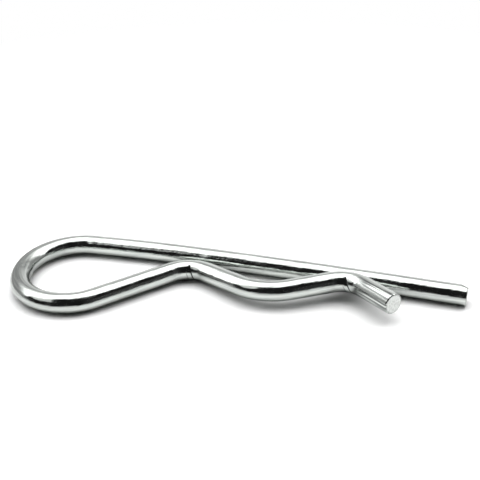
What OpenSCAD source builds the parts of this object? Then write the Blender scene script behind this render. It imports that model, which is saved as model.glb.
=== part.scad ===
/* [Wire] */
// Diameter of the round spring wire
wire_d = 3.75; // [3.4:0.05:4.4]
// Edge break round both cut ends
edge_break = 0.24; // [0.1:0.02:0.4]

/* [Straight leg] */
// Straight stretch from the cut tip, the part that first enters a cross hole
tip_len = 16.6; // [10:0.2:24]
// Slight set of the leg behind the tip stretch, toward the bent limb
set_angle = 1.5; // [0.5:0.1:3]
// Radius of that set, to the centre of the wire
set_radius = 480; // [300:10:700]
// Straight stretch between the set and the bow
mid_len = 18.4; // [12:0.1:24]
// Gentle bow that leads into the head loop
bow_angle = 4.9; // [3:0.1:7]
// Radius of the bow, to the centre of the wire
bow_radius = 272; // [200:2:340]

/* [Tip bevel] */
// Length of the flat bevel that eases the tip into a hole
bevel_len = 1.4; // [0.8:0.1:2.4]
// Depth of the bevel at the cut face
bevel_depth = 0.5; // [0.2:0.05:0.8]
// How far the bevel faces away from straight up, toward the back
bevel_turn = 30; // [0:5:60]

/* [Head loop] */
// Turn of the first arc, round the far end of the loop
turn_angle = 99.1; // [95:0.1:103]
// Radius of the first arc, to the centre of the wire
turn_radius = 9.85; // [9:0.05:11]
// Turn of the second arc, along the belly of the loop
crown_angle = 92.6; // [88:0.1:97]
// Radius of the second arc, to the centre of the wire
crown_radius = 9.95; // [9:0.05:11]
// Turn of the last arc, which points the limb back at the leg
close_angle = 31.7; // [28:0.1:36]
// Radius of the last arc, to the centre of the wire
close_radius = 8.3; // [7.5:0.05:9.5]

/* [Neck] */
// Clear gap between the neck bend and the straight leg
neck_gap = 1.1; // [0.6:0.1:2]
// Turn of the neck bend
neck_angle = 72.5; // [68:0.1:77]
// Radius of the neck bend, to the centre of the wire
neck_radius = 5.9; // [5.2:0.05:6.8]
// Straight run from the neck bend to the saddle
neck_len = 8; // [6:0.1:10]

/* [Saddle] */
// Inner radius of the saddle that holds the shaft
saddle_inner_r = 8.2; // [7.5:0.05:9.5]
// Turn of the saddle
saddle_angle = 55; // [51:0.1:59]

/* [Nose and flare] */
// Clear gap between the nose bend and the straight leg
nose_gap = 0.1; // [0.1:0.05:1.5]
// Turn of the nose bend
nose_angle = 69; // [62:0.1:75]
// Radius of the nose bend, to the centre of the wire
nose_radius = 5.25; // [4.8:0.05:6.5]
// Straight flared end behind the nose bend
flare_len = 7.5; // [5:0.1:9]
// Twist of the bent limb out of the plane of the loop, which lifts its free end
lift_angle = 3.6; // [1:0.1:5]

/* [Press marks] */
// Radius of the tool nose that pressed the inside of the neck and nose bends
press_radius = 0.6; // [0.4:0.05:1]
// Depth of the pressed mark
press_depth = 0.2; // [0.1:0.05:0.3]
// Turn from the middle of the bend on to the mark
press_past = 6; // [0:1:10]
// Lean of the mark, whose lower end is the one farther along the wire
press_lean = 15; // [0:5:30]

/* [Hidden] */
$fn = 48;
// Cold bending draws the wire in by this much all round
draw_in = 0.025;
// How far each bend reaches into the straights beside it
overlap = 0.1;
// Short straight that joins two arcs of the loop
link = 0.4;
saddle_radius = saddle_inner_r + wire_d / 2;

// The wire is a chain of steps from the cut tip to the flared end. Each step is
// [straight length, roll about the wire, bend angle, bend radius], and a roll of 180 reverses the bends.
// A state is [centre, heading, side that the wire bends to]. Distances from the leg are along knee[2].
start = [[0, 0, 0], [-1, 0, 0], [0, -1, 0]];

function bend_side(s, roll) = s[2] * cos(roll) + cross(s[1], s[2]) * sin(roll);
function round_bend(heading, side, radius, angle) =
  radius * ((1 - cos(angle)) * side + sin(angle) * heading);
function after(s, step) =
  let (side = bend_side(s, step[1]))
  [
    s[0] + step[0] * s[1] + round_bend(s[1], side, step[3], step[2]),
    cos(step[2]) * s[1] + sin(step[2]) * side,
    cos(step[2]) * side - sin(step[2]) * s[1]
  ];
function run(s, chain, i = 0) = i == len(chain) ? s : run(after(s, chain[i]), chain, i + 1);

leg_steps = [[tip_len, 0, set_angle, set_radius]];
knee = run(start, leg_steps);
loop_steps = [
  [mid_len, 0, bow_angle, bow_radius],
  [link, 0, turn_angle, turn_radius],
  [link, 0, crown_angle, crown_radius],
  [link, 0, close_angle, close_radius]
];
loop_end = run(knee, loop_steps);

// How far the leg has curved toward the limb, at x from the knee toward the tip
function curve_off(radius, x) = radius - sqrt(radius * radius - x * x);
function leg_curve(x) =
  let (set_run = set_radius * sin(set_angle))
  x > set_run ? curve_off(set_radius, set_run) + (x - set_run) * tan(set_angle)
  : x > 0 ? curve_off(set_radius, x)
  : x < -mid_len ? curve_off(bow_radius, x + mid_len)
  : 0;

// Straight length that brings the next bend to a clear gap from the leg, found in a few corrections
function run_to_leg(s, roll, radius, gap, length = 0, tries = 5) =
  let (
    side = bend_side(s, roll),
    nearing = -s[1] * knee[2],
    turn = atan2(nearing, side * knee[2]),
    apex = s[0] + length * s[1] + round_bend(s[1], side, radius, turn) - knee[0],
    target = leg_curve(-apex * knee[1]) + sqrt(pow(wire_d + gap, 2) - pow(apex[2], 2))
  )
  tries == 0 ? length
  : run_to_leg(s, roll, radius, gap, length + (apex * knee[2] - target) / nearing, tries - 1);

neck_roll = 180 - lift_angle;
return_len = run_to_leg(loop_end, neck_roll, neck_radius, neck_gap);
limb_steps = [
  [return_len, neck_roll, neck_angle, neck_radius],
  [neck_len, 180, saddle_angle, saddle_radius]
];
saddle_end = run(loop_end, limb_steps);
nose_len = run_to_leg(saddle_end, 180, nose_radius, nose_gap);
end_steps = [[nose_len, 180, nose_angle, nose_radius], [flare_len, 0, 0, 0]];
steps = concat(leg_steps, loop_steps, limb_steps, end_steps);
NECK = len(leg_steps) + len(loop_steps);
NOSE = NECK + len(limb_steps);
LAST = len(steps) - 1;

// Furthest reach of the wire along direction e, and the middle of its box on that axis
function skin(s, e) = s[0] * e + wire_d / 2 * sqrt(max(0, 1 - pow(s[1] * e, 2)));
function bulge(s, step, e) =
  let (
    side = bend_side(s, step[1]),
    turn = 180 - atan2(s[1] * e, side * e)
  )
  turn > step[2] ? skin(s, e)
  : (s[0] + step[0] * s[1] + round_bend(s[1], side, step[3], turn)) * e + wire_d / 2;
function reach(e, s = start, i = 0) =
  i > LAST ? skin(s, e)
  : max(skin(s, e), bulge(s, steps[i], e), reach(e, after(s, steps[i]), i + 1));
function middle(e) = (reach(e) - reach(-e)) / 2;

// Moves its children past one bend
module past_bend(angle, radius) {
  translate([radius, 0, 0])
    rotate([0, angle, 0])
      translate([-radius, 0, 0])
        children();
}

// Moves its children to the start of bend i
module at_bend(i, from = 0) {
  step = steps[from];
  translate([0, 0, step[0]])
    rotate([0, 0, step[1]])
      if (from == i) {
        children();
      } else {
        past_bend(step[2], step[3]) at_bend(i, from + 1) children();
      }
}

module bend(angle, radius) {
  over = overlap / radius * 180 / PI;
  translate([radius, 0, 0])
    rotate([90, 0, 0])
      rotate([0, 0, 180 - angle - over])
        rotate_extrude(angle = angle + 2 * over)
          translate([radius, 0])
            circle(d = wire_d - 2 * draw_in);
}

// Straight wire with a broken edge where it is cut off, at its start
module cut_wire(length) {
  cylinder(h = edge_break, d1 = wire_d - 2 * edge_break, d2 = wire_d);
  translate([0, 0, edge_break])
    cylinder(h = length - edge_break, d = wire_d);
}

// The wire from step i to the flared end
module wire(i = 0) {
  step = steps[i];
  if (i == 0) {
    cut_wire(step[0]);
  } else if (i == LAST) {
    translate([0, 0, step[0]])
      rotate([180, 0, 0])
        cut_wire(step[0]);
  } else {
    cylinder(h = step[0], d = wire_d);
  }
  if (i < LAST) {
    translate([0, 0, step[0]])
      rotate([0, 0, step[1]]) {
        bend(step[2], step[3]);
        past_bend(step[2], step[3]) wire(i + 1);
      }
  }
}

// Trough that the bending tool pressed across the inside of bend i
module press_mark(i) {
  inside = steps[i][3] - wire_d / 2;
  at_bend(i)
    translate([steps[i][3], 0, 0])
      rotate([0, steps[i][2] / 2 + press_past, 0])
        translate([press_radius - press_depth - inside, 0, 0])
          rotate([90 + press_lean, 0, 0])
            cylinder(h = 2 * wire_d, r = press_radius, center = true);
}

// What the bevel takes off the tip, with the tip at the origin and the leg running back along -X
module tip_bevel() {
  rotate([-bevel_turn, 0, 0])
    translate([-bevel_len, -wire_d, wire_d / 2])
      rotate([0, atan(bevel_depth / bevel_len), 0])
        translate([-bevel_len / 2, 0, 0])
          cube([3 * bevel_len, 2 * wire_d, wire_d]);
}

// The clip lies flat on its leg and head loop, with the middle of its box over the origin
module clip() {
  color("silver")
    translate([-middle([1, 0, 0]), -middle([0, 1, 0]), wire_d / 2])
      difference() {
        rotate([90, 0, -90])
          difference() {
            wire();
            press_mark(NECK);
            press_mark(NOSE);
          }
        tip_bevel();
      }
}

clip();
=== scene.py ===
"""The looks of the R clip: bright-plated wire in place of the CAD solid, on a white floor in a studio."""
import math
import bpy
from mathutils import Matrix, Vector


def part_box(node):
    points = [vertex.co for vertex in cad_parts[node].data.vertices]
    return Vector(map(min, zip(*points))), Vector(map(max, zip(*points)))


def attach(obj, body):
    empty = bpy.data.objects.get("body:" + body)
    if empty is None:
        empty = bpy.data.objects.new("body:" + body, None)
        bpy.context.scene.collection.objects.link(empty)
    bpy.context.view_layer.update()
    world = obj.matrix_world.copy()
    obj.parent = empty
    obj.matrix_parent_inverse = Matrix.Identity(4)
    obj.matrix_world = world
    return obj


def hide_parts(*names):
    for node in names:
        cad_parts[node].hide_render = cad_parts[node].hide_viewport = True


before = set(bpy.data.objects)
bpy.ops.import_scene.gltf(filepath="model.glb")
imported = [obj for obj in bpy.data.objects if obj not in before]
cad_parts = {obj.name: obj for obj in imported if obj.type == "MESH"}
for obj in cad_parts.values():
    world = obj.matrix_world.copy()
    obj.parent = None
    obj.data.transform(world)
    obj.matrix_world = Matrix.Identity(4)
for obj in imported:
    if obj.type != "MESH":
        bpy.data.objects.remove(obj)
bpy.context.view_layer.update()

MM = 0.001

# ---- Sizes of the clip in millimetres and degrees, the same as in the part's source ----
WIRE_D = 3.75
WIRE_R = WIRE_D / 2
EDGE_BREAK = 0.24
# Each bend is (turn, radius to the centre of the wire)
TIP_LEN = 16.6
SET = (1.5, 480.0)
MID_LEN = 18.4
BOW = (4.9, 272.0)
TURN = (99.1, 9.85)
CROWN = (92.6, 9.95)
CLOSE = (31.7, 8.3)
NECK = (72.5, 5.9)
NECK_GAP = 1.1
NECK_LEN = 8.0
SADDLE_INNER_R = 8.2
SADDLE = (55.0, SADDLE_INNER_R + WIRE_R)
NOSE = (69.0, 5.25)
NOSE_GAP = 0.1
FLARE_LEN = 7.5
LIFT = 3.6
# Straight wire between the bends of the head loop
LINK = 0.4
BEVEL_LEN = 1.4
BEVEL_DEPTH = 0.5
BEVEL_TURN = 30.0
PRESS_RADIUS = 0.6
PRESS_DEPTH = 0.2
# The bends are thinner than the straights by this much all round
DRAW_IN = 0.025

# ---- Sizes that only the look has, in millimetres and degrees ----
# The wire draws in over this length from either end of a bend
DRAW_FADE = 1.0
# How far past the middle of the bend each press mark is, and how far it leans
PRESS_MARKS = {NECK: (6.0, 15.0), NOSE: (4.2, 28.0)}
# The mark's near edge, its bottom and its far edge, along the wire in halves of the source's mark
PRESS_EDGES = (-1.6, 0.8, 1.2)
# The power with which the mark goes down from its edges
PRESS_CURVE = 1.3
# Cosines to the bend's inner side where the mark begins and where it is at its full depth
PRESS_INSIDE = (0.5, 0.9)
# Each painted shade line in the mark is (middle, reach to either side, strength), the first two in those
# halves
PRESS_SHADE_LINES = ((0.75, 0.75, 2.0), (-2.1, 0.5, 0.6))
# Rise of the surface's normal under which those painted shade lines begin, and under which they are at
# their darkest: the shade is painted only where the wire faces down
PRESS_SHADE_BELOW = (0.5, 1 / 6)
# The painted shade line along the bevel's edge is wider on the round wire than on the flat face
BEVEL_SHADE_REACH = 0.24
BEVEL_SHADE_REACH_FLAT = 0.07
BEVEL_SHADE_STRENGTH = 1.0
# The bevel's length over which that painted shade line grows dark
BEVEL_SHADE_FADE = 0.5
# The painted shade line round the cut faces, and the wider one over the rounded edge of the tip
RIM_SHADE_REACH = 0.09
RIM_SHADE_REACH_TIP = 0.4
RIM_SHADE_STRENGTH = 0.5

# ---- Fineness of the mesh ----
SIDES = 72
RING_STEP = 0.28
BEND_STEP = 0.12
PRESS_STEP = 0.03
END_STEP = 0.1
# A bend under this radius takes the finer step
TIGHT_RADIUS = 2 * WIRE_D
# Rings on each cut face, as shares of its radius
CAP_RINGS = (0.3, 0.6, 0.86, 0.96)
EDGE_RINGS = 8
# Rounds in which the straight before a bend closes in on its length
LENGTH_ROUNDS = 5


# ---- The walk along the wire, from the cut tip to the flared end ----
class State:
    """Where the walk is: the wire's centre, its heading and the side that it bends to."""

    def __init__(self, centre, heading, side):
        self.centre = centre
        self.heading = heading
        self.side = side

    def ahead(self, length):
        return State(self.centre + length * self.heading, self.heading, self.side)

    def rolled(self, roll):
        turn = math.radians(roll)
        side = math.cos(turn) * self.side + math.sin(turn) * self.heading.cross(self.side)
        return State(self.centre, self.heading, side)

    def bent(self, angle, radius):
        a = math.radians(angle)
        move = radius * ((1 - math.cos(a)) * self.side + math.sin(a) * self.heading)
        heading = math.cos(a) * self.heading + math.sin(a) * self.side
        side = math.cos(a) * self.side - math.sin(a) * self.heading
        return State(self.centre + move, heading, side)


def run(state, steps):
    """The state after each straight, roll and bend in turn."""
    for length, roll, (angle, radius) in steps:
        state = state.ahead(length).rolled(roll).bent(angle, radius)
    return state


# A roll of 180 reverses the bends, and a step without a bend ends with this one
REVERSE = 180
NO_BEND = (0, 1)
START = State(Vector((0, 0, 0)), Vector((-1, 0, 0)), Vector((0, -1, 0)))
LEG_STEPS = [(TIP_LEN, 0, SET)]
LOOP_STEPS = [(MID_LEN, 0, BOW), (LINK, 0, TURN), (LINK, 0, CROWN), (LINK, 0, CLOSE)]
KNEE = run(START, LEG_STEPS)
LOOP_END = run(KNEE, LOOP_STEPS)


def curve_off(radius, run_x):
    """How far a curve of this radius has left its tangent."""
    return radius - math.sqrt(radius * radius - run_x * run_x)


def leg_curve(x):
    """How far the leg has curved toward the limb, at x from the knee toward the tip."""
    set_angle, set_radius = SET
    set_run = set_radius * math.sin(math.radians(set_angle))
    if x > set_run:
        return curve_off(set_radius, set_run) + (x - set_run) * math.tan(math.radians(set_angle))
    if x > 0:
        return curve_off(set_radius, x)
    if x < -MID_LEN:
        return curve_off(BOW[1], x + MID_LEN)
    return 0


def run_to_leg(state, roll, radius, gap):
    """Straight length that brings the next bend to a clear gap from the leg."""
    side = state.rolled(roll).side
    nearing = -state.heading.dot(KNEE.side)
    turn = math.degrees(math.atan2(nearing, side.dot(KNEE.side)))
    length = 0
    for _ in range(LENGTH_ROUNDS):
        apex = state.ahead(length).rolled(roll).bent(turn, radius).centre - KNEE.centre
        target = leg_curve(-apex.dot(KNEE.heading)) + math.sqrt((WIRE_D + gap) ** 2 - apex.z ** 2)
        length += (apex.dot(KNEE.side) - target) / nearing
    return length


def all_steps():
    """Every (straight, roll, bend) from the cut tip to the flared end."""
    roll = REVERSE - LIFT
    return_len = run_to_leg(LOOP_END, roll, NECK[1], NECK_GAP)
    limb = [(return_len, roll, NECK), (NECK_LEN, REVERSE, SADDLE)]
    saddle_end = run(LOOP_END, limb)
    nose_len = run_to_leg(saddle_end, REVERSE, NOSE[1], NOSE_GAP)
    return LEG_STEPS + LOOP_STEPS + limb + [(nose_len, REVERSE, NOSE), (FLARE_LEN, 0, NO_BEND)]


def even(length, step):
    """Even stations from 0 to length, without the last."""
    count = max(1, math.ceil(length / step))
    return [length * i / count for i in range(count)]


def stations():
    """(run, centre, heading, radius) of each ring, and (run, inner side, lean) of the two press marks."""
    rings, marks = [], []
    state, done = START, 0.0
    steps = all_steps()
    for i, (length, roll, (angle, radius)) in enumerate(steps):
        step = END_STEP if i in (0, len(steps) - 1) else RING_STEP
        for s in even(length, step):
            ahead = state.ahead(s)
            rings.append((done + s, ahead.centre, ahead.heading, WIRE_R))
        done += length
        bend = state.ahead(length).rolled(roll)
        arc = math.radians(angle) * radius
        step = BEND_STEP if radius < TIGHT_RADIUS else RING_STEP
        if (angle, radius) in PRESS_MARKS:
            past, lean = PRESS_MARKS[(angle, radius)]
            past += angle / 2
            marks.append((done + math.radians(past) * radius, bend.bent(past, radius).side, lean))
            step = PRESS_STEP
        for s in even(arc, step) if arc else []:
            part = bend.bent(math.degrees(s / radius), radius)
            drawn = DRAW_IN * min(1, s / DRAW_FADE, (arc - s) / DRAW_FADE)
            rings.append((done + s, part.centre, part.heading, WIRE_R - drawn))
        done += arc
        state = bend.bent(angle, radius)
    rings.append((done, state.centre, state.heading, WIRE_R))
    return rings, marks


# ---- The tools' marks on the wire, and the shade painted along them ----
def part_way(value, low, high):
    """How far the value has come from low to high, from 0 to 1."""
    return min(1, max(0, (value - low) / (high - low)))


def painted_line_shade(off, reach, strength):
    """The painted shade of a line at this distance from its middle."""
    return min(1, strength * max(0, 1 - abs(off) / reach))


def pressed(s, out, marks):
    """(depth, painted shade) of the creases that the bending tool left: gently down to a sharp far edge.
    The shade is painted as dark lines on the crease's downward-facing side.
    """
    half = math.sqrt(2 * PRESS_RADIUS * PRESS_DEPTH - PRESS_DEPTH ** 2)
    near, bottom, far = PRESS_EDGES
    normal = out.normalized()
    depth, crease_shade = 0, 0
    for place, inner, lean in marks:
        along = (s - place + out.z * math.tan(math.radians(lean))) / half
        inside = part_way(normal.dot(inner), *PRESS_INSIDE)
        sunk = min(part_way(along, near, bottom), part_way(along, far, bottom))
        lines = sum(painted_line_shade(along - middle, *rest) for middle, *rest in PRESS_SHADE_LINES)
        depth += PRESS_DEPTH * inside * sunk ** PRESS_CURVE
        crease_shade += lines * inside * part_way(normal.z, *PRESS_SHADE_BELOW)
    return depth, crease_shade


def bevelled(point):
    """(point, painted shade) near the tip after the flat bevel has been cut: its edge gets a painted shade
    line.
    """
    past = point.x + BEVEL_LEN
    if past < 0:
        return point, 0
    turn = math.radians(BEVEL_TURN)
    up = Vector((0, math.sin(turn), math.cos(turn)))
    over = point.dot(up) - (WIRE_R - BEVEL_DEPTH / BEVEL_LEN * past)
    reach = BEVEL_SHADE_REACH if over < 0 else BEVEL_SHADE_REACH_FLAT
    bevel_shade = painted_line_shade(over, reach, BEVEL_SHADE_STRENGTH) * min(1, past / BEVEL_SHADE_FADE)
    return point - max(0, over) * up, bevel_shade


def rim_painted_shade(s, r, length):
    """A thin painted shade line round each cut face, which is wider over the tip's rounded edge."""
    off = math.hypot(WIRE_R - EDGE_BREAK - r, min(s, length - s))
    reach = RIM_SHADE_REACH_TIP if s < EDGE_BREAK and r > WIRE_R - EDGE_BREAK else RIM_SHADE_REACH
    return painted_line_shade(off, reach, RIM_SHADE_STRENGTH)


# ---- The wire's mesh ----
def end_profile():
    """(depth behind the cut face, radius) of the rings on a cut face and over its rounded edge."""
    rim = WIRE_R - EDGE_BREAK
    points = [(0, rim * share) for share in CAP_RINGS]
    for i in range(EDGE_RINGS + 1):
        a = math.pi / 2 * i / EDGE_RINGS
        points.append((EDGE_BREAK * (1 - math.cos(a)), WIRE_R - EDGE_BREAK * (1 - math.sin(a))))
    return points


def ring_chain(rings):
    """The rings from one cut face to the other, with those of both ends in place."""
    _, start, heading, _ = rings[0]
    head = [(depth, start + depth * heading, heading, r) for depth, r in end_profile()]
    length, end, heading, _ = rings[-1]
    tail = [(length - depth, end - depth * heading, heading, r) for depth, r in end_profile()]
    middle = [ring for ring in rings if EDGE_BREAK < ring[0] < length - EDGE_BREAK]
    return head + middle + tail[::-1]


def ring_axes(headings):
    """Two axes across the wire at each ring, carried along it without a twist."""
    axes = []
    last = headings[0]
    across = last.cross(Vector((0, 0, 1))).normalized()
    for heading in headings:
        across = last.rotation_difference(heading) @ across
        across = (across - across.dot(heading) * heading).normalized()
        axes.append((across, heading.cross(across).normalized()))
        last = heading
    return axes


def tube_faces(rings, sides):
    """The faces between each ring of corners and the next."""
    faces = []
    for i in range(rings - 1):
        for k in range(sides):
            n = (k + 1) % sides
            faces.append((i * sides + k, i * sides + n, (i + 1) * sides + n, (i + 1) * sides + k))
    return faces


def wire_mesh():
    """The wire's corners and faces, and the notes at each corner: its place on the wire, its painted shade
    and whether it is on a cut face.
    """
    rings, marks = stations()
    length = rings[-1][0]
    chain = ring_chain(rings)
    verts, wire_co, shade_and_cut_marks = [], [], []
    for (s, centre, _, r), (across, over) in zip(chain, ring_axes([ring[2] for ring in chain])):
        for k in range(SIDES):
            a = 2 * math.pi * k / SIDES
            out = r * (math.cos(a) * across + math.sin(a) * over)
            depth, painted_shade = pressed(s, out, marks)
            point, bevel_shade = bevelled(centre + out * (1 - depth / r))
            verts.append(point)
            wire_co.append((s, r * math.cos(a), r * math.sin(a)))
            # The first note is the painted shade, the second marks a corner on a cut face
            shade_and_cut_marks.append((max(painted_shade, bevel_shade, rim_painted_shade(s, r, length)), s in (0, length), 0))
    faces = tube_faces(len(chain), SIDES)
    for ring, base in ((chain[0], 0), (chain[-1], (len(chain) - 1) * SIDES)):
        hub = len(verts)
        verts.append(ring[1].copy())
        wire_co.append((ring[0], 0, 0))
        shade_and_cut_marks.append((0, 1, 0))
        for k in range(SIDES):
            pair = (base + (k + 1) % SIDES, base + k)
            faces.append((hub, *(reversed(pair) if base else pair)))
    return verts, faces, {"wire_co": wire_co, "shade_and_cut_marks": shade_and_cut_marks}


def placed(verts):
    """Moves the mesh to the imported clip's place and into metres."""
    low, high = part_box("clip")
    middle = (low + high) / 2 / MM
    box = [[f(v[i] for v in verts) for f in (min, max)] for i in range(2)]
    shift = Vector((middle.x - sum(box[0]) / 2, middle.y - sum(box[1]) / 2, WIRE_R))
    return [(v + shift) * MM for v in verts]


def linked(name, data):
    """A new object of the scene."""
    made = bpy.data.objects.new(name, data)
    bpy.context.scene.collection.objects.link(made)
    return made


def make_wire():
    verts, faces, notes = wire_mesh()
    mesh = bpy.data.meshes.new("bent_wire")
    mesh.from_pydata(placed(verts), [], faces)
    mesh.validate()
    for name, values in notes.items():
        attribute = mesh.attributes.new(name, "FLOAT_VECTOR", "POINT")
        attribute.data.foreach_set("vector", [part for value in values for part in value])
    for polygon in mesh.polygons:
        polygon.use_smooth = True
    return linked("bent_wire", mesh)


# ---- Nodes ----
def new_material(name):
    material = bpy.data.materials.new(name)
    material.use_nodes = True
    material.node_tree.nodes.clear()
    return material, material.node_tree


def node(tree, kind, **values):
    """A new node; the values that begin with in_ go to its inputs, and the others are its own settings."""
    made = tree.nodes.new(kind)
    for name, value in values.items():
        if name.startswith("in_"):
            made.inputs[name[3:].replace("_", " ")].default_value = value
        else:
            setattr(made, name, value)
    return made


def feed(tree, socket, value):
    """Gives a socket a number, a colour or the output of another node."""
    if isinstance(value, (int, float)):
        socket.default_value = value
    elif isinstance(value, tuple):
        socket.default_value = (*value, 1)
    else:
        tree.links.new(value, socket)


def ramp(tree, value, low, high, start=0, end=1):
    """A smooth change from start to end while the value goes from low to high."""
    made = node(tree, "ShaderNodeMapRange", interpolation_type="SMOOTHSTEP")
    for name, limit in zip(("From Min", "From Max", "To Min", "To Max"), (low, high, start, end)):
        feed(tree, made.inputs[name], limit)
    feed(tree, made.inputs["Value"], value)
    return made.outputs["Result"]


def blend(tree, share, first, second):
    """Goes from the first value to the second with the share; each is a number or an output."""
    made = node(tree, "ShaderNodeMix")
    for name, value in (("Factor", share), ("A", first), ("B", second)):
        feed(tree, made.inputs[name], value)
    return made.outputs["Result"]


def tinted(tree, share, first, second):
    """Goes from the first colour to the second with the share; each is a colour or an output."""
    made = node(tree, "ShaderNodeMixRGB")
    for name, value in (("Fac", share), ("Color1", first), ("Color2", second)):
        feed(tree, made.inputs[name], value)
    return made.outputs["Color"]


def layered(tree, share, first, second):
    """Goes from the first shader to the second with the share."""
    made = node(tree, "ShaderNodeMixShader")
    for socket, value in zip(made.inputs, (share, first, second)):
        feed(tree, socket, value)
    return made.outputs["Shader"]


def calculated(tree, operation, *values):
    """The result of one operation; each of its values is a number or an output."""
    made = node(tree, "ShaderNodeMath", operation=operation)
    for socket, value in zip(made.inputs, values):
        feed(tree, socket, value)
    return made.outputs["Value"]


def vector_result(tree, operation, vector, result):
    """One of the results, Vector or Value, of an operation on a vector."""
    made = node(tree, "ShaderNodeVectorMath", operation=operation)
    feed(tree, made.inputs[0], vector)
    return made.outputs[result]


def parts_of(tree, vector):
    """The X, Y and Z of a vector."""
    parts = node(tree, "ShaderNodeSeparateXYZ")
    feed(tree, parts.inputs["Vector"], vector)
    return [parts.outputs[name] for name in "XYZ"]


def noted(tree, name):
    """The three parts of a note that the wire's mesh carries at its corners."""
    return parts_of(tree, node(tree, "ShaderNodeAttribute", attribute_name=name).outputs["Vector"])


def object_place(tree):
    """The place on the object, in its own metres."""
    return node(tree, "ShaderNodeTexCoord").outputs["Object"]


def glowing(tree, strength):
    glow = node(tree, "ShaderNodeEmission")
    feed(tree, glow.inputs["Strength"], strength)
    return glow.outputs["Emission"]


def covered_with(tree, shader):
    """Makes this shader the surface of the material."""
    feed(tree, node(tree, "ShaderNodeOutputMaterial").inputs["Surface"], shader)


# ---- The plated wire ----
# Each grain is (length and width of its marks in millimetres, their lean in degrees, detail, seed)
LINES = (6.0, 0.28, 2.0, 2.0, 11.0)
RAGGED = (2.2, 0.6, 4.0, 3.0, 5.0)
WAVES = (12.0, 2.5, 3.0, 1.0, 3.0)
CHATTER = (0.7, 0.4, 8.0, 1.0, 31.0)
LOOP_STREAKS = (9.0, 0.4, 1.0, 3.0, 23.0)
FLARE_STREAKS = (12.0, 0.42, 0.0, 1.0, 61.0)
# Heights of the grains in millimetres
LINE_HEIGHT = 0.012
RAGGED_HEIGHT = 0.03
WAVE_HEIGHT = 0.08
CHATTER_HEIGHT = 0.009
# Noise between these two values turns from the mark's colour to the plate's
LINES_SEEN = (0.3, 0.6)
LOOP_STREAKS_SEEN = (0.4, 0.8)
FLARE_STREAKS_SEEN = (0.38, 0.5)
# Where the tools have rubbed the head loop, in millimetres along the wire, and how it fades in and out
LOOP_RUBBED = (74.0, 102.0)
LOOP_FADES = (4.0, 6.0)
# How far from its end the flare is rubbed in the same way, and how that fades in
FLARE_RUBBED = 9.0
FLARE_FADE = 3.0
# The pits of the cut faces: their size in millimetres, their detail and the noise that shows them
PIT_SIZE = 0.35
PIT_DETAIL = 2.0
PITS_SEEN = (0.35, 0.55)
PLATE_COLOUR = (0.63, 0.66, 0.63)
LINE_COLOUR = (0.5, 0.525, 0.51)
RUBBED_COLOUR = (0.45, 0.47, 0.455)
STREAK_COLOUR = (0.19, 0.2, 0.195)
CUT_COLOUR = (0.68, 0.7, 0.68)
PIT_COLOUR = (0.52, 0.54, 0.52)
# Near-black painted shade for the creases, the bevel's edge and the rims of the cut faces
PAINTED_SHADE_COLOUR = (0.03, 0.032, 0.03)
# The ragged grain between these two values takes the plate from its least roughness to its most
ROUGH_GRAIN = (0.3, 0.7)
ROUGHNESS = (0.08, 0.18)
CUT_ROUGHNESS = 0.3


def scratches(tree, along, across, lean, detail, seed):
    """Noise stretched along the wire: how long and how wide its marks are in millimetres."""
    run_along, y, z = noted(tree, "wire_co")
    turn = calculated(tree, "ARCTAN2", z, y)
    creep = calculated(tree, "MULTIPLY_ADD", run_along, math.tan(math.radians(lean)) / WIRE_R, turn)
    place = node(tree, "ShaderNodeCombineXYZ")
    feed(tree, place.inputs["X"], run_along)
    feed(tree, place.inputs["Y"], calculated(tree, "COSINE", creep))
    feed(tree, place.inputs["Z"], calculated(tree, "SINE", creep))
    scaled = node(tree, "ShaderNodeVectorMath", operation="MULTIPLY_ADD")
    feed(tree, scaled.inputs[0], place.outputs["Vector"])
    scaled.inputs[1].default_value = (1 / along, WIRE_R / across, WIRE_R / across)
    scaled.inputs[2].default_value = (seed, seed, seed)
    noise = node(tree, "ShaderNodeTexNoise", in_Scale=1.0, in_Detail=detail)
    feed(tree, noise.inputs["Vector"], scaled.outputs["Vector"])
    return noise.outputs["Fac"]


def mottle(tree, size, detail):
    """Even noise whose spots have the given size in millimetres."""
    place = node(tree, "ShaderNodeAttribute", attribute_name="wire_co")
    noise = node(tree, "ShaderNodeTexNoise", in_Scale=1 / size, in_Detail=detail)
    feed(tree, noise.inputs["Vector"], place.outputs["Vector"])
    return noise.outputs["Fac"]


def bumped(tree, grain, height, normal=None):
    """The surface's normal with one more grain on it."""
    bump = node(tree, "ShaderNodeBump", in_Strength=1.0, in_Distance=height * MM)
    feed(tree, bump.inputs["Height"], grain)
    if normal:
        feed(tree, bump.inputs["Normal"], normal)
    return bump.outputs["Normal"]


def plate_colour(tree, run_along, lines):
    """The plate's colour: its drawn lines, and the dull streaks where the tools have rubbed it."""
    colour = tinted(tree, ramp(tree, lines, *LINES_SEEN), LINE_COLOUR, PLATE_COLOUR)
    streaks = ramp(tree, scratches(tree, *LOOP_STREAKS), *LOOP_STREAKS_SEEN)
    rubbed = tinted(tree, streaks, RUBBED_COLOUR, PLATE_COLOUR)
    start, end = LOOP_RUBBED
    fade_in, fade_out = LOOP_FADES
    begun = ramp(tree, run_along, start, start + fade_in)
    on_loop = blend(tree, ramp(tree, run_along, end - fade_out, end), begun, 0)
    colour = tinted(tree, on_loop, colour, rubbed)
    streaks = ramp(tree, scratches(tree, *FLARE_STREAKS), *FLARE_STREAKS_SEEN)
    rubbed = tinted(tree, streaks, STREAK_COLOUR, PLATE_COLOUR)
    start = stations()[0][-1][0] - FLARE_RUBBED
    return tinted(tree, ramp(tree, run_along, start, start + FLARE_FADE), colour, rubbed)


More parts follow.
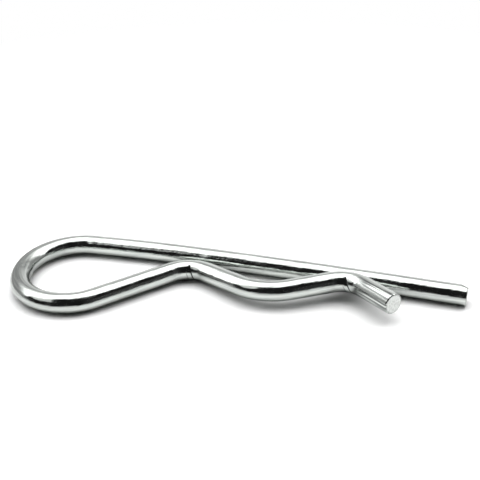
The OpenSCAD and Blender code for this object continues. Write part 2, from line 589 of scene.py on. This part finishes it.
def plated_wire():
    """Bright zinc plate over drawn wire, with fine lines drawn along it, and near-black painted shade in
    the creases, along the bevel's edge and round the cut faces.
    """
    material, tree = new_material("plated_wire")
    shader = node(tree, "ShaderNodeBsdfPrincipled", in_Metallic=1.0)
    run_along = noted(tree, "wire_co")[0]
    painted_shade, cut, _ = noted(tree, "shade_and_cut_marks")
    lines = scratches(tree, *LINES)
    ragged = scratches(tree, *RAGGED)
    normal = bumped(tree, scratches(tree, *WAVES), WAVE_HEIGHT)
    normal = bumped(tree, ragged, RAGGED_HEIGHT, normal)
    normal = bumped(tree, scratches(tree, *CHATTER), CHATTER_HEIGHT, normal)
    feed(tree, shader.inputs["Normal"], bumped(tree, lines, LINE_HEIGHT, normal))
    pits = ramp(tree, mottle(tree, PIT_SIZE, PIT_DETAIL), *PITS_SEEN)
    torn = tinted(tree, pits, PIT_COLOUR, CUT_COLOUR)
    colour = tinted(tree, cut, plate_colour(tree, run_along, lines), torn)
    # Painted shade: the creases, the bevel's edge and the rims of the cut faces turn near-black
    feed(tree, shader.inputs["Base Color"], tinted(tree, painted_shade, colour, PAINTED_SHADE_COLOUR))
    rough = ramp(tree, ragged, *ROUGH_GRAIN, *ROUGHNESS)
    feed(tree, shader.inputs["Roughness"], blend(tree, cut, rough, CUT_ROUGHNESS))
    covered_with(tree, shader.outputs["BSDF"])
    return material


# ---- The camera, in millimetres and degrees ----
CAMERA_AZ = 19.6034
CAMERA_EL = 30.2088
CAMERA_ROLL = -1.8671
CAMERA_DISTANCE = 165.67
CAMERA_TARGET = (-3.3137, 18.572, 1.875)
CAMERA_LENS = 63.413
CAMERA_SENSOR = 36.0
CAMERA_CLIP = (5.0, 50000.0)
CAMERA_TURN = Matrix.Rotation(math.radians(CAMERA_AZ), 4, "Z")


def make_camera():
    """Camera at the photograph's viewing angle."""
    camera = linked("camera", bpy.data.cameras.new("camera"))
    camera.data.lens = CAMERA_LENS
    camera.data.sensor_width = CAMERA_SENSOR
    camera.data.clip_start, camera.data.clip_end = (limit * MM for limit in CAMERA_CLIP)
    tilt = Matrix.Rotation(math.radians(90 - CAMERA_EL), 4, "X")
    roll = Matrix.Rotation(math.radians(CAMERA_ROLL), 4, "Z")
    back = Matrix.Translation((0, 0, CAMERA_DISTANCE * MM))
    target = Matrix.Translation(Vector(CAMERA_TARGET) * MM)
    camera.matrix_world = target @ CAMERA_TURN @ tilt @ back @ roll
    bpy.context.scene.camera = camera


def card(name, corners, material):
    """A flat card from its four corners, in metres, with x to the camera's right and y away from it."""
    mesh = bpy.data.meshes.new(name)
    mesh.from_pydata(corners, [], [(0, 1, 2, 3)])
    mesh.materials.append(material)
    made = linked(name, mesh)
    made.matrix_world = CAMERA_TURN
    return made


# ---- The room, in metres: x goes to the camera's right, y away from it and z up ----
ROOM_RADIUS = 3.0
ROOM_SIDES = 64
ROOM_RINGS = 16
# Brightness on the camera's side, to the left and to the right
ROOM_DARK = 0.012
ROOM_DARK_RIGHT = 0.06
# Brightness of the other sides, from the floor up, and of the back above the white sweep
ROOM_FOOT = 0.38
ROOM_GREY = 0.45
ROOM_BACK = 0.62
SWEEP_LEVEL = 1.0
# Where each change begins and ends, in x, y or z of the unit direction from the clip
FRONT_TO_BACK = (-0.45, 0.15)
FRONT_TO_RIGHT = (0.2, 0.7)
FOOT_TO_GREY = (0.08, 0.25)
BACK_TO_SWEEP = (0.55, 0.25)
LEFT_TO_BACK = (-0.4, -0.25)
RIGHT_TO_BACK = (0.65, 0.45)


def room_material():
    """The dim studio round the table: dark on the camera's side, grey behind, above the white sweep."""
    material, tree = new_material("studio_room")
    direction = vector_result(tree, "NORMALIZE", object_place(tree), "Vector")
    x, y, z = parts_of(tree, direction)
    side = ramp(tree, z, *FOOT_TO_GREY, ROOM_FOOT, ROOM_GREY)
    middle = ramp(tree, z, *BACK_TO_SWEEP, ROOM_BACK, SWEEP_LEVEL)
    middle = blend(tree, ramp(tree, x, *RIGHT_TO_BACK), side, middle)
    back = blend(tree, ramp(tree, x, *LEFT_TO_BACK), side, middle)
    front = ramp(tree, x, *FRONT_TO_RIGHT, ROOM_DARK, ROOM_DARK_RIGHT)
    level = blend(tree, ramp(tree, y, *FRONT_TO_BACK), front, back)
    covered_with(tree, glowing(tree, level))
    return material


def make_room():
    mesh = bpy.data.meshes.new("studio_room")
    verts = []
    for j in range(ROOM_RINGS + 1):
        e = math.pi / 2 * j / ROOM_RINGS
        for i in range(ROOM_SIDES):
            a = 2 * math.pi * i / ROOM_SIDES
            flat = ROOM_RADIUS * math.cos(e)
            verts.append((flat * math.cos(a), flat * math.sin(a), ROOM_RADIUS * math.sin(e)))
    mesh.from_pydata(verts, [], tube_faces(ROOM_RINGS + 1, ROOM_SIDES))
    mesh.materials.append(room_material())
    room = linked("studio_room", mesh)
    room.matrix_world = CAMERA_TURN
    room.visible_camera = False
    room.visible_shadow = False


# ---- The softbox over the table, in metres ----
SOFTBOX_HEIGHT = 0.6
SOFTBOX_X = (-2.6, 1.75)
SOFTBOX_Y = (-0.65, 0.95)
SOFTBOX_LEVEL = 2.55
# The bright panel ends inside the softbox, and its glow goes on to the softbox's own borders
PANEL_LEFT = (-2.2, -1.7)
PANEL_FAR = (0.6, 0.36)
PANEL_SHARE = 0.72
GLOW_LEFT = (-2.6, -1.5)
GLOW_FAR = (0.95, 0.45)
# Past this distance from the middle, both of those far borders come forward with this slope
SLANT_MIDDLE = -0.1
SLANT_FROM = 0.4
SLANT = 0.45
BORDER_RIGHT = (1.75, 1.15)
BORDER_NEAR = (-0.19, -0.06)
# A grey flap on the camera's side of the near border, with slanted sides
FLAP_LEAN = 0.53
FLAP_LEFT = (-0.95, -0.75)
FLAP_RIGHT = (-0.24, -0.185)
FLAP_NEAR = (-0.62, -0.48)
FLAP_LEVEL = 0.9


def softbox_panel(tree, x, y):
    """The brightness of the softbox: a panel with a weaker glow to its left and behind it."""
    beside = calculated(tree, "ABSOLUTE", calculated(tree, "SUBTRACT", x, SLANT_MIDDLE))
    beyond = calculated(tree, "MAXIMUM", calculated(tree, "SUBTRACT", beside, SLANT_FROM), 0)
    back = calculated(tree, "ADD", y, calculated(tree, "MULTIPLY", beyond, SLANT))
    panel = ramp(tree, back, *PANEL_FAR, 0, PANEL_SHARE)
    panel = blend(tree, ramp(tree, x, *PANEL_LEFT), 0, panel)
    fringe = ramp(tree, back, *GLOW_FAR, 0, 1 - PANEL_SHARE)
    fringe = blend(tree, ramp(tree, x, *GLOW_LEFT), 0, fringe)
    lit = blend(tree, ramp(tree, x, *BORDER_RIGHT), 0, calculated(tree, "ADD", panel, fringe))
    return blend(tree, lit, ROOM_GREY, SOFTBOX_LEVEL)


def softbox_flap(tree, x, y):
    """The brightness in front of the softbox's near border: the dark room and the grey flap."""
    slanted = calculated(tree, "SUBTRACT", x, calculated(tree, "MULTIPLY", y, FLAP_LEAN))
    across = ramp(tree, slanted, *FLAP_RIGHT, 1, 0)
    across = blend(tree, ramp(tree, slanted, *FLAP_LEFT), 0, across)
    return blend(tree, blend(tree, ramp(tree, y, *FLAP_NEAR), 0, across), ROOM_DARK, FLAP_LEVEL)


def softbox_material():
    """A bright panel and its glow, which fade into the grey room, and a grey flap before them."""
    material, tree = new_material("softbox_cloth")
    x, y, _ = parts_of(tree, object_place(tree))
    panel, flap = softbox_panel(tree, x, y), softbox_flap(tree, x, y)
    covered_with(tree, glowing(tree, blend(tree, ramp(tree, y, *BORDER_NEAR), flap, panel)))
    return material


def make_softbox():
    (left, right), (near, far), h = SOFTBOX_X, SOFTBOX_Y, SOFTBOX_HEIGHT
    corners = [(left, near, h), (left, far, h), (right, far, h), (right, near, h)]
    softbox = card("softbox", corners, softbox_material())
    softbox.visible_camera = False


# ---- The floor ----
# The lit floor's colour for light in general, to the camera and in reflections
FLOOR_COLOUR = 0.95
FLOOR_SEEN = 1.3
FLOOR_MIRRORED = 1.2
# How far from the clip's middle the lit floor turns plain white, in metres: to the camera, and to all else
FLOOR_SEEN_LIT = (0.08, 0.18)
FLOOR_LIT = (0.35, 0.8)
FLOOR_ROUGHNESS = 0.2
FLOOR_IOR = 1.45
FLOOR_HALF = 2 * ROOM_RADIUS
# Painted shade: the gap under the wire goes darker than the light alone would leave it, as far as this in
# millimetres
NOOK_REACH = 5.5
NOOK_SAMPLES = 8
# How open the floor is where it is at its darkest, and where the darkness ends
NOOK_OPEN = (0.0, 0.9)
# The share of its colour that is left there: to the camera, and to all else
NOOK_DARK = 0.5
NOOK_MIRRORED = 0.1


def floor_colour(tree, path):
    """The lit floor's colour, with painted shade from ambient occlusion in the gap under the wire."""
    to_camera = path.outputs["Is Camera Ray"]
    colour = blend(tree, path.outputs["Is Glossy Ray"], FLOOR_COLOUR, FLOOR_MIRRORED)
    colour = blend(tree, to_camera, colour, FLOOR_SEEN)
    nook = node(tree, "ShaderNodeAmbientOcclusion", samples=NOOK_SAMPLES, in_Distance=NOOK_REACH * MM)
    darkest = blend(tree, to_camera, NOOK_MIRRORED, NOOK_DARK)
    shade = blend(tree, ramp(tree, nook.outputs["AO"], *NOOK_OPEN), darkest, 1)
    return calculated(tree, "MULTIPLY", colour, shade)


def floor_material():
    """White floor: lit and shadowed round the clip under a thin gloss, with painted shade under the wire,
    plain white further out.
    """
    material, tree = new_material("white_floor")
    path = node(tree, "ShaderNodeLightPath")
    matt = node(tree, "ShaderNodeBsdfDiffuse")
    feed(tree, matt.inputs["Color"], floor_colour(tree, path))
    gloss = node(tree, "ShaderNodeBsdfGlossy", in_Roughness=FLOOR_ROUGHNESS)
    grazing = node(tree, "ShaderNodeFresnel", in_IOR=FLOOR_IOR)
    coated = layered(tree, grazing.outputs["Fac"], matt.outputs["BSDF"], gloss.outputs["BSDF"])
    away = vector_result(tree, "LENGTH", object_place(tree), "Value")
    seen, unseen = (ramp(tree, away, *lit) for lit in (FLOOR_SEEN_LIT, FLOOR_LIT))
    far = blend(tree, path.outputs["Is Camera Ray"], unseen, seen)
    covered_with(tree, layered(tree, far, coated, glowing(tree, 1.0)))
    return material


def make_floor():
    h = FLOOR_HALF
    card("floor", [(-h, -h, 0), (h, -h, 0), (h, h, 0), (-h, h, 0)], floor_material())


def make_world():
    world = bpy.data.worlds.new("studio")
    world.use_nodes = True
    background = world.node_tree.nodes["Background"]
    background.inputs["Color"].default_value = (1, 1, 1, 1)
    background.inputs["Strength"].default_value = 1.0
    bpy.context.scene.world = world


bpy.context.scene.view_settings.view_transform = "Standard"
make_camera()
make_softbox()
make_room()
make_floor()
make_world()

wire = make_wire()
wire.data.materials.append(plated_wire())
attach(wire, "root")
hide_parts("clip")
